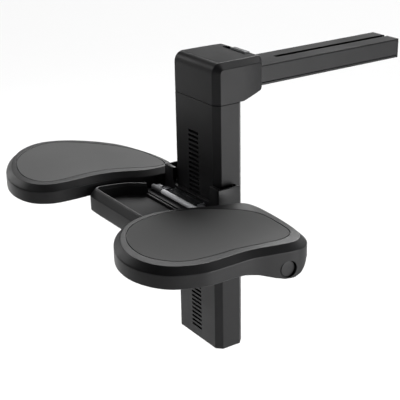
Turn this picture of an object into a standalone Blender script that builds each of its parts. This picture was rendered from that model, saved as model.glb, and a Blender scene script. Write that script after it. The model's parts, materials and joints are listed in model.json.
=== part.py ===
"""Column stand with a rear mounting arm, a sliding carriage, a tray and two fold-up side rests.

Every number is in millimetres in the stand's own frame: X across, +Y towards the rear arm, +Z up,
with zero on the column's centre line at its foot.  The whole stand hangs from an empty that puts the
world origin on the underside of the arm, where the stand is clamped.
"""
import math

import bmesh
import bpy
from mathutils import Matrix, Vector

MM = 0.001
SIDES = ("left", "right")
GAP = 0.4                      # clearance between neighbouring pieces

# Column
COLUMN_HALF_WIDTH = 50.5
COLUMN_HALF_DEPTH = 22.0
COLUMN_CHAMFER = 8.0
COLUMN_HEIGHT = 348.0
COLUMN_WALL = 3.0
NECK_SCREW_X = (-26, 26)
NECK_SCREW_Z = 334.0
FOOT_THICKNESS = 3.2
RACK_HALF_WIDTH = 20.0
RACK_LOW = 8.0
RACK_TOP = 322.0
RACK_THICKNESS = 2.0

# Ladder of slots in the column's front wall
SLOT_PITCH = 6.35
SLOT_COUNT = 46
SLOT_HALF_WIDTH = 11.5
SLOT_HEIGHT = 3.4
SLOT_LOWEST = 16.75
SLOT_X = -1.5

# Head
HEAD_TOP = 401.5
HEAD_REAR = 58.5
HEAD_EDGE_RADIUS = 13.0
HEAD_REAR_RADII = (8.0, 7.0)   # above and below the arm

# Lock button on the head, and the bolt that it lifts
BUTTON_X = (-7.0, 25.0)
BUTTON_Y = (41.6, 49.9)
BUTTON_Z = (398.3, 404.0)
BUTTON_TRAVEL = 16.0
GROOVE_PITCH = 3
BOLT_X = (-4.0, 4.0)
BOLT_Y = (43.0, 49.0)

# Arm
ARM_HALF_WIDTH = 26.0
ARM_BOTTOM = 355.3
ARM_TOP = 382.7
ARM_START = 58.9
ARM_END = 313.4
ARM_WALL = 3.5
ARM_SLOT_WIDTH = 6.4           # takes a 1/4 inch screw
ARM_SLOT_START = 110.0
ARM_SCREW_X = (-12, 12)
ARM_SCREW_Y = 70.0
TENON_HALF_WIDTH = 20.0
TENON_LOW = 362.0
TENON_HIGH = 378.0
TENON_FRONT = -15.0
TENON_REAR = 78.0
MOUNT_Y = 185.0                # the clamped stretch of the arm, and the world origin

# Carriage
CHEEK_X = 64.0
CHEEK_TOP = 242.0
CHEEK_FLOOR = 218.6            # the cheeks stand on the carriage's shoulders here
CHEEK_REAR = 5.0
SHOULDER_X = 61.0
CARRIAGE_FRONT = -28.4
CARRIAGE_LOW = 180.0
LIP_TOP = 219.0
LIP_HALF_WIDTH = 43.5
RUN_GAP = 1.2                  # carriage to column, taken up by the glide pads

# Side rests
PIVOT_Y = -51.0
PIVOT_Z = 205.0
SHAFT_RADIUS = 4.5
BORE_RADIUS = 4.9
REST_TOP = 234.0
REST_BEVEL = 8.0
REST_BOTTOM = 209.0
REST_WALL = 3.0
MAT_DEPTH = 2.0
BUSH_RADIUS = 7.0
BUSH_LENGTH = 10
HUB_X = 228.0                  # the right rest's boss, and the cap on its outer end
HUB_RADIUS = 13.0
HUB_CAP_RADIUS = 9.6

# Tray
TRAY_TOP = 223.0
TRAY_FLOOR = 205.0
TRAY_BOTTOM = 190.0
TRAY_RIM = 8.0
TRAY_SCREW_X = (-34, 34)
TRAY_SCREW_Z = 197.0

# Release bar
BAR_RADIUS = 3.5
BAR_Z = 215.8
BAR_HALF_LENGTH = 60.0

# Control points of the rests' outer walls, seen from above
REST_RIGHT_WALL = [
    (88, -15), (104, -3), (140, -1), (196, -6), (225, -16), (236, -36), (231, -64), (224, -95),
    (224, -130), (222, -160), (203, -197), (166, -216), (124, -214), (84, -193), (60, -165),
    (51, -132), (56, -98), (66, -72), (75, -54), (82, -35),
]
REST_LEFT_WALL = [
    (-72, -3), (-109, 0), (-150, -6), (-200, -21), (-244, -52), (-272, -88), (-279, -124),
    (-262, -160), (-230, -187), (-190, -207), (-152, -214), (-118, -207), (-98, -184), (-94, -150),
    (-94, -116), (-86, -85), (-72, -59), (-67, -34),
]
# Control points of the inlaid mats
MAT_RIGHT = [
    (143, -19), (179, -20), (203, -25), (213, -42), (210, -70), (204, -105), (203, -140),
    (195, -172), (168, -194), (138, -198), (106, -189), (78, -166), (67, -133), (70, -100),
    (83, -70), (103, -44), (122, -27),
]
MAT_LEFT = [
    (-91, -14), (-81, -22), (-86, -44), (-103, -74), (-113, -100), (-115, -132), (-114, -164),
    (-121, -184), (-146, -195), (-178, -193), (-217, -178), (-246, -152), (-261, -118),
    (-255, -90), (-231, -64), (-199, -39), (-160, -19), (-122, -13),
]
# The tray's left and right sides follow the rests beside them
TRAY_LEFT = [(-52, -48), (-66, -62), (-79, -78), (-86, -96), (-90, -114), (-91, -120)]
TRAY_RIGHT = [(46, -120), (46, -104), (51, -86), (58, -70), (62, -58), (63, -48)]
TRAY_FRONT = -132.0
TRAY_CORNER = 12.0
TRAY_REAR = -62.2
# Underside of a rest from its front lobe, past the pivot barrel, to its rear wall: (y, z)
REST_UNDERSIDE = [
    (-240, 209), (-118, 209), (-103, 207.5), (-86, 203.5), (-66, 196), (-54, 192.6), (-43, 192.2),
    (-32, 196), (-25, 202), (-20, 209), (20, 209),
]

PARTS = bpy.data.collections.new("column_stand")
GUIDES = bpy.data.collections.new("cutters")
MATERIALS = {}
EMPTIES = {}
PIVOTS = {}


# ---------------------------------------------------------------- scene and materials

def clear_scene():
    for thing in list(bpy.data.objects):
        bpy.data.objects.remove(thing, do_unlink=True)
    for group in (PARTS, GUIDES):
        bpy.context.scene.collection.children.link(group)


def material(name, color, roughness, metallic=0.0):
    made = bpy.data.materials.new(name)
    made.use_nodes = True
    shader = made.node_tree.nodes["Principled BSDF"]
    shader.inputs["Base Color"].default_value = (*color, 1.0)
    shader.inputs["Roughness"].default_value = roughness
    shader.inputs["Metallic"].default_value = metallic
    MATERIALS[name] = made


def make_materials():
    material("body_plastic", (0.022, 0.022, 0.024), 0.5)
    material("arm_plastic", (0.028, 0.028, 0.030), 0.48)
    material("mat_rubber", (0.090, 0.091, 0.094), 0.85)
    material("polished_steel", (0.75, 0.76, 0.78), 0.18, 1.0)
    material("plain_steel", (0.42, 0.43, 0.45), 0.35, 1.0)
    material("dark_steel", (0.05, 0.05, 0.055), 0.45, 0.8)
    material("light_plastic", (0.48, 0.49, 0.51), 0.4)
    material("bush_plastic", (0.62, 0.61, 0.56), 0.5)


def body(name, parent, pivot):
    """An empty on the joint's axis that carries the pieces of one rigid body."""
    empty = bpy.data.objects.new(name, None)
    empty.empty_display_size = 0.02
    PARTS.objects.link(empty)
    PIVOTS[name] = Vector(pivot) * MM
    if parent is None:
        empty.location = Vector((0, -MOUNT_Y, -ARM_BOTTOM)) * MM
        PIVOTS[name] = Vector((0, 0, 0))
    else:
        empty.parent = EMPTIES[parent]
        empty.location = PIVOTS[name] - PIVOTS[parent]
    EMPTIES[name] = empty


def finish(piece, body_name, finish_name, smooth=True):
    """Names the piece's material, hangs it on its body and shades its round faces smooth."""
    piece.data.transform(Matrix.Translation(-PIVOTS[body_name]))
    piece.parent = EMPTIES[body_name]
    piece.data.materials.clear()
    piece.data.materials.append(MATERIALS[finish_name])
    if smooth:
        piece.data.shade_smooth()
        piece.data.set_sharp_from_angle(angle=math.radians(30))
    GUIDES.objects.unlink(piece)
    PARTS.objects.link(piece)
    return piece


# ---------------------------------------------------------------- solids

def from_bmesh(name, shape):
    mesh = bpy.data.meshes.new(name)
    shape.to_mesh(mesh)
    shape.free()
    thing = bpy.data.objects.new(name, mesh)
    thing.hide_render = True
    thing.display_type = "WIRE"
    GUIDES.objects.link(thing)
    return thing


def show(thing):
    thing.hide_render = False
    thing.display_type = "TEXTURED"
    return thing


def box(name, x, y, z):
    """A box between low and high limits on each axis."""
    shape = bmesh.new()
    size = Matrix.Diagonal((x[1] - x[0], y[1] - y[0], z[1] - z[0], 1 / MM)) * MM
    centre = Matrix.Translation(Vector((sum(x), sum(y), sum(z))) * MM / 2)
    bmesh.ops.create_cube(shape, size=1.0, matrix=centre @ size)
    return from_bmesh(name, shape)


def cylinder(name, axis, centre, radius, length, sides=24):
    """A round bar centred on a point, along one axis."""
    turn = {"X": Matrix.Rotation(math.pi / 2, 4, "Y"), "Y": Matrix.Rotation(math.pi / 2, 4, "X"),
            "Z": Matrix.Identity(4)}[axis]
    shape = bmesh.new()
    bmesh.ops.create_cone(shape, cap_ends=True, segments=sides, radius1=radius * MM,
                          radius2=radius * MM, depth=length * MM,
                          matrix=Matrix.Translation(Vector(centre) * MM) @ turn)
    return from_bmesh(name, shape)


def plate(name, outline, low, high, axis="Z"):
    """A flat outline given thickness along an axis: (x, y) along Z, (y, z) along X, (x, z) along Y."""
    columns = {"Z": ((1, 0, 0), (0, 1, 0), (0, 0, 1)), "X": ((0, 1, 0), (0, 0, 1), (1, 0, 0)),
               "Y": ((1, 0, 0), (0, 0, 1), (0, -1, 0))}[axis]
    turn = Matrix(columns).transposed().to_4x4()
    middle = (low + high) / 2 * (-1 if axis == "Y" else 1)
    curve = bpy.data.curves.new(name, "CURVE")
    curve.dimensions = "2D"
    curve.fill_mode = "BOTH"
    curve.extrude = (high - low) / 2 * MM
    spline = curve.splines.new("POLY")
    spline.points.add(len(outline) - 1)
    spline.use_cyclic_u = True
    for point, (u, v) in zip(spline.points, outline):
        point.co = (u * MM, v * MM, 0, 1)
    carrier = bpy.data.objects.new(name, curve)
    GUIDES.objects.link(carrier)
    shape = bmesh.new()
    mesh = bpy.data.meshes.new_from_object(carrier.evaluated_get(bpy.context.evaluated_depsgraph_get()))
    shape.from_mesh(mesh)
    bmesh.ops.remove_doubles(shape, verts=shape.verts, dist=1e-6)
    bmesh.ops.dissolve_limit(shape, angle_limit=math.radians(0.5), verts=shape.verts, edges=shape.edges)
    shape.transform(turn @ Matrix.Translation((0, 0, middle * MM)))
    bmesh.ops.recalc_face_normals(shape, faces=shape.faces)
    bpy.data.objects.remove(carrier)
    bpy.data.curves.remove(curve)
    bpy.data.meshes.remove(mesh)
    return from_bmesh(name, shape)


def weld(mesh):
    """Merges points that a Boolean leaves less than 5 micrometres apart."""
    shape = bmesh.new()
    shape.from_mesh(mesh)
    bmesh.ops.remove_doubles(shape, verts=shape.verts, dist=5e-6)
    shape.to_mesh(mesh)
    shape.free()


def combine(target, cutter, operation):
    """Applies one exact Boolean and removes the second solid."""
    step = target.modifiers.new("step", "BOOLEAN")
    step.operation = operation
    step.solver = "EXACT"
    step.object = cutter
    evaluated = target.evaluated_get(bpy.context.evaluated_depsgraph_get())
    result = bpy.data.meshes.new_from_object(evaluated)
    target.modifiers.remove(step)
    weld(result)
    target.data = result
    bpy.data.objects.remove(cutter)
    return target


def cut(target, *cutters):
    for cutter in cutters:
        combine(target, cutter, "DIFFERENCE")
    return target


def join(target, *others):
    for other in others:
        combine(target, other, "UNION")
    return target


def group(name, pieces):
    """Several separate solids in one mesh."""
    shape = bmesh.new()
    for piece in pieces:
        shape.from_mesh(piece.data)
        bpy.data.objects.remove(piece)
    return from_bmesh(name, shape)


def bevel(target, width, segments, test):
    """Bevels the edges whose two ends, in millimetres, both pass the test."""
    shape = bmesh.new()
    shape.from_mesh(target.data)
    chosen = [edge for edge in shape.edges if all(test(vert.co / MM) for vert in edge.verts)]
    bmesh.ops.bevel(shape, geom=chosen, offset=width * MM, segments=segments, profile=0.5,
                    affect="EDGES", clamp_overlap=True)
    bmesh.ops.dissolve_degenerate(shape, dist=1e-7, edges=shape.edges)
    shape.to_mesh(target.data)
    shape.free()
    return target


def at(value, limit):
    return abs(value - limit) < 0.01


# ---------------------------------------------------------------- outlines

def blend(p0, p1, p2, p3, t):
    """A point of the Catmull-Rom curve from p1 to p2."""
    p0, p1, p2, p3 = (Vector(point) for point in (p0, p1, p2, p3))
    square = (2 * p0 - 5 * p1 + 4 * p2 - p3) * t ** 2
    cube = (3 * p1 - p0 - 3 * p2 + p3) * t ** 3
    return tuple(0.5 * (2 * p1 + (p2 - p0) * t + square + cube))


def smooth_loop(points, steps=4):
    """A closed Catmull-Rom curve through the points."""
    count = len(points)
    loop = []
    for index in range(count):
        around = [points[(index + shift) % count] for shift in (-1, 0, 1, 2)]
        loop += [blend(*around, step / steps) for step in range(steps)]
    return loop


def smooth_path(points, steps=4):
    """An open Catmull-Rom curve through the points."""
    ends = [points[0]] + list(points) + [points[-1]]
    path = []
    for p0, p1, p2, p3 in zip(ends, ends[1:], ends[2:], ends[3:]):
        path += [blend(p0, p1, p2, p3, step / steps) for step in range(steps)]
    return path + [points[-1]]


def inset(outline, distance):
    """The outline moved inwards by a distance, with mitred corners."""
    area = sum(a[0] * b[1] - b[0] * a[1] for a, b in zip(outline, outline[1:] + outline[:1]))
    side = 1 if area > 0 else -1
    moved = []
    for index, point in enumerate(outline):
        here = Vector(point)
        before = (here - Vector(outline[index - 1])).normalized()
        after = (Vector(outline[(index + 1) % len(outline)]) - here).normalized()
        normals = Vector((-before.y, before.x)), Vector((-after.y, after.x))
        mitre = (normals[0] + normals[1]) / (1 + normals[0].dot(normals[1]))
        moved.append(tuple(here + mitre * distance * side))
    return moved


def chamfered(half_x, half_y, chamfer):
    """A rectangle with 45 degree corners."""
    x, y, c = half_x, half_y, chamfer
    return [(-x, -y + c), (-x + c, -y), (x - c, -y), (x, -y + c),
            (x, y - c), (x - c, y), (-x + c, y), (-x, y - c)]


def arc(centre, radius, start, end, steps):
    """Points on an arc between two angles in degrees."""
    angles = [math.radians(start + (end - start) * step / steps) for step in range(steps + 1)]
    return [(centre[0] + radius * math.cos(a), centre[1] + radius * math.sin(a)) for a in angles]


def coil(name, centre, axis, radius, wire, length, turns):
    """A helical spring of round wire, centred on a point."""
    curve = bpy.data.curves.new(name, "CURVE")
    curve.dimensions = "3D"
    curve.bevel_depth = wire / 2 * MM
    curve.bevel_resolution = 1
    curve.use_fill_caps = True
    steps = turns * 8
    spline = curve.splines.new("POLY")
    spline.points.add(steps)
    for index, point in enumerate(spline.points):
        angle = 2 * math.pi * index / 8
        round_part = (radius * math.cos(angle), radius * math.sin(angle))
        along = length * (index / steps - 0.5)
        place = (*round_part, along) if axis == "Z" else (round_part[0], along, round_part[1])
        point.co = (*((Vector(centre) + Vector(place)) * MM), 1)
    carrier = bpy.data.objects.new(name, curve)
    GUIDES.objects.link(carrier)
    mesh = bpy.data.meshes.new_from_object(carrier.evaluated_get(bpy.context.evaluated_depsgraph_get()))
    shape = bmesh.new()
    shape.from_mesh(mesh)
    bmesh.ops.remove_doubles(shape, verts=shape.verts, dist=1e-6)
    bmesh.ops.recalc_face_normals(shape, faces=shape.faces)
    bpy.data.objects.remove(carrier)
    return from_bmesh(name, shape)


def screw(name, body_name, axis, tip, head, shank_radius, head_radius, head_height):
    """A screw along one axis: a shank from its tip to its head."""
    index = "XYZ".index(axis)
    way = 1 if head[index] > tip[index] else -1
    shank_centre = [(a + b) / 2 for a, b in zip(tip, head)]
    length = abs(head[index] - tip[index])
    head_centre = list(head)
    head_centre[index] += way * head_height / 2
    shank = cylinder(name, axis, shank_centre, shank_radius, length + 0.2, 16)
    join(shank, cylinder("head", axis, head_centre, head_radius, head_height, 24))
    finish(show(shank), body_name, "dark_steel")


# ---------------------------------------------------------------- column and head

def slot_heights():
    return [SLOT_LOWEST + SLOT_PITCH * index for index in range(SLOT_COUNT)]


def slot_cutters(half_width, height, y):
    boxes = [box("slot", (SLOT_X - half_width, SLOT_X + half_width), y, (z - height / 2, z + height / 2))
             for z in slot_heights()]
    return group("slots", boxes)


def make_column():
    outer = chamfered(COLUMN_HALF_WIDTH, COLUMN_HALF_DEPTH, COLUMN_CHAMFER)
    inner = chamfered(COLUMN_HALF_WIDTH - COLUMN_WALL, COLUMN_HALF_DEPTH - COLUMN_WALL,
                      COLUMN_CHAMFER - COLUMN_WALL / 2)
    shell = plate("column_shell", outer, 0, COLUMN_HEIGHT)
    bevel(shell, 2.5, 2, lambda p: at(p.z, 0))
    cut(shell, plate("bore", inner, -1, COLUMN_HEIGHT + 1))
    cut(shell, slot_cutters(SLOT_HALF_WIDTH, SLOT_HEIGHT, (-COLUMN_HALF_DEPTH - 1, -COLUMN_HALF_DEPTH + 4)))
    for x in NECK_SCREW_X:
        cut(shell, cylinder("hole", "Y", (x, 20, NECK_SCREW_Z), 1.7, 10, 16))
        cut(shell, cylinder("head_hole", "Y", (x, 22, NECK_SCREW_Z), 3.4, 4.0, 24))
    finish(show(shell), "column", "body_plastic")

    inside = -COLUMN_HALF_DEPTH + COLUMN_WALL + GAP
    strip = box("rack_strip", (-RACK_HALF_WIDTH, RACK_HALF_WIDTH), (inside, inside + RACK_THICKNESS),
                (RACK_LOW, RACK_TOP))
    cut(strip, slot_cutters(SLOT_HALF_WIDTH + 0.6, SLOT_HEIGHT + 0.4, (inside - 1, inside + 3)))
    finish(show(strip), "column", "dark_steel", smooth=False)

    foot = plate("foot_plate", inset(inner, GAP), 0, FOOT_THICKNESS)
    finish(show(foot), "column", "body_plastic")


def head_profile(chamfer=0):
    """The head seen from the side, as (y, z), with its front and top edges set back by a chamfer."""
    front, top = chamfer - COLUMN_HALF_DEPTH, HEAD_TOP - chamfer
    radius = HEAD_EDGE_RADIUS - chamfer
    bottom = COLUMN_HEIGHT + GAP
    points = [(COLUMN_HALF_DEPTH, bottom), (front, bottom)]
    points += arc((front + radius, top - radius), radius, 180, 90, 8)
    high, low = HEAD_REAR_RADII
    points += arc((HEAD_REAR - high, top - high), high, 90, 0, 5)
    points += arc((HEAD_REAR - low, ARM_BOTTOM + low), low, 0, -80, 5)
    return points


def loft(name, sections):
    """A solid through outlines with equal counts of points, each at its own X."""
    shape = bmesh.new()
    rings = [[shape.verts.new(Vector((x, y, z)) * MM) for y, z in outline] for x, outline in sections]
    for first, second in zip(rings, rings[1:]):
        for index in range(len(first)):
            shape.faces.new((first[index - 1], first[index], second[index], second[index - 1]))
    shape.faces.new(rings[0])
    shape.faces.new(reversed(rings[-1]))
    bmesh.ops.recalc_face_normals(shape, faces=shape.faces)
    return from_bmesh(name, shape)


def make_head():
    half = COLUMN_HALF_WIDTH
    full, set_back = head_profile(), head_profile(COLUMN_CHAMFER)
    shoulder = half - COLUMN_CHAMFER
    shell = loft("head_shell", ((-half, set_back), (-shoulder, full), (shoulder, full), (half, set_back)))
    side = [(half, -30), (half, 17), (half - 0.6, 36), (half - 2.6, 48)]
    side += arc((half - 9.5, HEAD_REAR - 7.5), 7.5, 15, 90, 4)
    top_view = side + [(-x, y) for x, y in reversed(side)]
    combine(shell, plate("top_view", top_view, 300, 450), "INTERSECT")
    # Hollow over the column, and the tenon's chamber behind it
    cut(shell, box("front_room", (-43, 43), (-18, 20), (340, 391)))
    cut(shell, box("rear_room", (-40, 40), (19, 54), (358.5, 396)))
    cut(shell, box("mouth", (-TENON_HALF_WIDTH - GAP, TENON_HALF_WIDTH + GAP), (50, 70),
                   (TENON_LOW - GAP, TENON_HIGH + GAP)))
    # Recess for the lock button, and its stem's slot
    recess_x = (BUTTON_X[0] - BUTTON_TRAVEL - 2.5, BUTTON_X[1] + 0.5)
    cut(shell, box("recess", recess_x, (BUTTON_Y[0] - 0.6, BUTTON_Y[1] + 0.6), (BUTTON_Z[0] - 0.3, 410)))
    cut(shell, box("stem_slot", (-9.5, 17), (44.5, 47.5), (390, 400)))
    finish(show(shell), "column", "body_plastic")

    lower = box("socket_liner_lower", (-24, 24), (20, 53.6), (358.8, TENON_LOW - GAP))
    finish(show(lower), "column", "bush_plastic", smooth=False)
    upper = box("socket_liner_upper", (-24, 24), (20, 53.6), (TENON_HIGH + GAP, 381.0))
    posts = [box("post", (x - 2, x + 2), (20, 53.6), (380, 388.4)) for x in (-22, 22)]
    join(upper, *posts)
    hole_x, hole_y = ((low - GAP, high + GAP) for low, high in (BOLT_X, BOLT_Y))
    cut(upper, box("bolt_hole", hole_x, hole_y, (370, 390)))
    finish(show(upper), "column", "bush_plastic", smooth=False)
    roof = box("spring_plate", (-24, 24), (30, 53.6), (388.8, 390.2))
    finish(show(roof), "column", "plain_steel", smooth=False)
    make_neck_collar()


def make_neck_collar():
    """The sleeve that joins the head to the column, with two screws through the column's back."""
    low = inset(chamfered(COLUMN_HALF_WIDTH - COLUMN_WALL, COLUMN_HALF_DEPTH - COLUMN_WALL,
                          COLUMN_CHAMFER - COLUMN_WALL / 2), GAP)
    collar = plate("neck_collar", low, 324, COLUMN_HEIGHT)
    join(collar, plate("upper", chamfered(42.6, 17.6, 3), 345, 357))
    cut(collar, box("bore", (-38, 38), (-13.6, 14.4), (320, 360)))
    for x, side in zip(NECK_SCREW_X, SIDES):
        cut(collar, cylinder("hole", "Y", (x, 18, NECK_SCREW_Z), 1.7, 16, 16))
        screw("head_screw_" + side, "column", "Y", (x, 11.5, NECK_SCREW_Z), (x, 20.4, NECK_SCREW_Z),
              1.4, 3.0, 1.3)
    finish(show(collar), "column", "dark_steel", smooth=False)


def make_lock():
    button = box("slide_button", BUTTON_X, BUTTON_Y, BUTTON_Z)
    bevel(button, 1.2, 2, lambda p: p.z > BUTTON_Z[1] - 1)
    first, last = int(BUTTON_X[0]) + 4, int(BUTTON_X[1]) - 2
    grooves = [box("groove", (x - 0.6, x + 0.6), (40, 51), (BUTTON_Z[1] - 1, 405))
               for x in range(first, last, GROOVE_PITCH)]
    cut(button, group("grooves", grooves))
    finish(show(button), "button", "light_plastic")
    slider = box("lock_slider", (-12, 20), (42, 50), (391.0, 395.4))
    join(slider, box("stem", (8, 16), (44.9, 47.1), (395, 398.0)))
    finish(show(slider), "button", "dark_steel", smooth=False)

    bolt = box("latch_bolt", BOLT_X, BOLT_Y, (TENON_HIGH + GAP, 383.4))
    finish(show(bolt), "latch", "plain_steel", smooth=False)
    spring = coil("latch_spring", (0, 46, 386.1), "Z", 2.2, 0.7, 3.9, 3)
    finish(show(spring), "column", "plain_steel")


# ---------------------------------------------------------------- arm

def make_arm():
    half = ARM_HALF_WIDTH
    split = ARM_BOTTOM + 3.2
    rail = box("arm_rail", (-half, half), (ARM_START, ARM_END - 4), (split + GAP, ARM_TOP))
    bevel(rail, 1.4, 2, lambda p: at(p.z, ARM_TOP))
    cut(rail, box("chamber", (-half + ARM_WALL, half - ARM_WALL), (ARM_START - 1, ARM_END),
                  (TENON_LOW - GAP, TENON_HIGH + GAP)))
    cut(rail, box("slot", (-ARM_SLOT_WIDTH / 2, ARM_SLOT_WIDTH / 2), (ARM_SLOT_START, ARM_END + 1),
                  (TENON_HIGH - 2, ARM_TOP + 1)))
    cover = box("arm_underside_cover", (-half, half), (ARM_START, ARM_END - 4), (ARM_BOTTOM, split))
    bevel(cover, 1.0, 2, lambda p: at(p.z, ARM_BOTTOM))
    tenon = box("arm_tenon", (-TENON_HALF_WIDTH, TENON_HALF_WIDTH), (TENON_FRONT, TENON_REAR),
                (TENON_LOW, TENON_HIGH))
    cut(tenon, box("relief", (-15, 15), (TENON_FRONT + 6, TENON_REAR - 24), (TENON_LOW - 1, TENON_HIGH - 4)))
    for x, side in zip(ARM_SCREW_X, SIDES):
        for target in (rail, cover, tenon):
            cut(target, cylinder("hole", "Z", (x, ARM_SCREW_Y, 361), 2.2, 24, 16))
        cut(cover, cylinder("head_hole", "Z", (x, ARM_SCREW_Y, ARM_BOTTOM), 4.0, 4.4, 24))
        screw("arm_screw_" + side, "arm", "Z", (x, ARM_SCREW_Y, 370), (x, ARM_SCREW_Y, ARM_BOTTOM + 1.8),
              1.8, 3.6, 1.4)
    cap = box("arm_end_cap", (-half, half), (ARM_END - 4 + GAP, ARM_END), (ARM_BOTTOM, ARM_TOP))
    bevel(cap, 1.6, 2, lambda p: at(p.y, ARM_END))
    cut(cap, box("slot", (-ARM_SLOT_WIDTH / 2, ARM_SLOT_WIDTH / 2), (ARM_END - 6, ARM_END + 1),
                 (TENON_HIGH - 6, ARM_TOP + 1)))
    finish(show(rail), "arm", "arm_plastic")
    finish(show(cover), "arm", "arm_plastic")
    finish(show(tenon), "arm", "plain_steel", smooth=False)
    finish(show(cap), "arm", "arm_plastic")


# ---------------------------------------------------------------- carriage

def make_carriage():
    side_in = COLUMN_HALF_WIDTH + RUN_GAP
    front_in = -COLUMN_HALF_DEPTH - RUN_GAP
    frame = box("carriage_front", (-CHEEK_X, CHEEK_X), (CARRIAGE_FRONT, 20), (CARRIAGE_LOW, CHEEK_TOP))
    bevel(frame, 1.0, 2, lambda p: at(p.y, CARRIAGE_FRONT) and at(p.z, CHEEK_TOP))
    cut(frame, box("window", (-side_in, side_in), (front_in, 30), (100, 300)))
    for side in (-1, 1):
        beyond = sorted((side * (side_in - 1), side * (CHEEK_X + 1)))
        outside = sorted((side * SHOULDER_X, side * (CHEEK_X + 1)))
        cut(frame, box("pocket", beyond, (front_in, 30), (CHEEK_FLOOR, 300)))
        cut(frame, box("panel_room", outside, (-40, 30), (CHEEK_FLOOR, 300)))
        cut(frame, box("side_relief", outside, (front_in, 30), (100, 216)))
        cut(frame, box("rear_relief", beyond, (CHEEK_REAR, 30), (204, 300)))
    lip = [(-LIP_HALF_WIDTH, 250)] + arc((-LIP_HALF_WIDTH + 7, LIP_TOP + 7), 7, 180, 270, 6)
    lip += arc((LIP_HALF_WIDTH - 7, LIP_TOP + 7), 7, 270, 360, 6) + [(LIP_HALF_WIDTH, 250)]
    cut(frame, plate("lip", lip, CARRIAGE_FRONT - 5, front_in + 5, "Y"))
    cut(frame, box("pawl_window", (SLOT_X - 11, SLOT_X + 11), (CARRIAGE_FRONT - 5, front_in + 5),
                   (211.6, 216.6)))
    places = [(x, z) for x in (-56.5, 56.5) for z in (187, 198)]
    for number, (x, z) in enumerate(places, 1):
        cut(frame, cylinder("hole", "Y", (x, 15, z), 1.6, 20, 16))
        screw("carriage_screw_" + str(number), "carriage", "Y", (x, 10, z), (x, 24.4, z), 1.3, 2.6, 2.0)
    finish(show(frame), "carriage", "body_plastic")

    rear = box("carriage_rear_plate", (-SHOULDER_X, SHOULDER_X), (-front_in, 27), (182, 203))
    bevel(rear, 1.0, 2, lambda p: at(p.y, 27))
    for side in (-1, 1):
        join(rear, box("foot", sorted((side * side_in, side * SHOULDER_X)), (20 + GAP, 24), (182, 203)))
    for x, z in places:
        cut(rear, cylinder("hole", "Y", (x, 24, z), 1.7, 12, 16))
        cut(rear, cylinder("head_hole", "Y", (x, 26.2, z), 3.0, 4.4, 24))
    finish(show(rear), "carriage", "body_plastic")

    for side, name in ((-1, "cheek_left"), (1, "cheek_right")):
        wall = box(name, sorted((side * (SHOULDER_X + GAP), side * CHEEK_X)), (CARRIAGE_FRONT, CHEEK_REAR),
                   (CHEEK_FLOOR + GAP, CHEEK_TOP))
        bevel(wall, 0.8, 2, lambda p: at(p.z, CHEEK_TOP) and at(abs(p.x), CHEEK_X))
        back = box("back", sorted((side * side_in, side * (SHOULDER_X + 1))), (CHEEK_REAR - 2.5, CHEEK_REAR),
                   (CHEEK_FLOOR + GAP, CHEEK_TOP - 1.2))
        join(wall, back)
        finish(show(wall), "carriage", "body_plastic")

    liner = box("glide_liner", (0.3 - side_in, side_in - 0.3), (front_in + 0.3, 12), (182, 210))
    cut(liner, box("inside", (0.9 - side_in, side_in - 0.9), (front_in + 0.9, 20), (180, 220)))
    finish(show(liner), "carriage", "bush_plastic", smooth=False)


def make_hinge_beam():
    beam = box("hinge_beam", (-CHEEK_X + 0.5, 68), (-61.8, CARRIAGE_FRONT - GAP), (193, 211.6))
    bevel(beam, 1.0, 1, lambda p: at(p.z, 193))
    cut(beam, cylinder("bore", "X", (0, PIVOT_Y, PIVOT_Z), BORE_RADIUS, 200))
    for x, side in zip(TRAY_SCREW_X, SIDES):
        cut(beam, cylinder("hole", "Y", (x, -58, TRAY_SCREW_Z), 1.7, 14, 16))
        screw("tray_screw_" + side, "carriage", "Y", (x, -56, TRAY_SCREW_Z), (x, -65, TRAY_SCREW_Z),
              1.4, 2.8, 2.0)
    finish(show(beam), "carriage", "body_plastic")

    shaft = cylinder("pivot_shaft", "X", (33.5, PIVOT_Y, PIVOT_Z), SHAFT_RADIUS, 387)
    finish(show(shaft), "carriage", "plain_steel")
    clip = cylinder("shaft_clip", "X", (-157.6, PIVOT_Y, PIVOT_Z), 6.8, 1.2, 24)
    cut(clip, cylinder("bore", "X", (-157.6, PIVOT_Y, PIVOT_Z), BORE_RADIUS, 10, 24))
    finish(show(clip), "carriage", "dark_steel")


def tray_outline():
    """The tray seen from above, drawn longer than the tray at its rear, where it is trimmed."""
    centre_y = TRAY_FRONT + TRAY_CORNER
    left_side = [(-34, -30)] + smooth_path(TRAY_LEFT, 2)[:-1]
    right_side = smooth_path(TRAY_RIGHT, 2) + [(63, -30)]
    corners = arc((-91 + TRAY_CORNER, centre_y), TRAY_CORNER, 180, 270, 4)
    corners += arc((46 - TRAY_CORNER, centre_y), TRAY_CORNER, 270, 360, 4)[:-1]
    return left_side + corners + right_side


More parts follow.
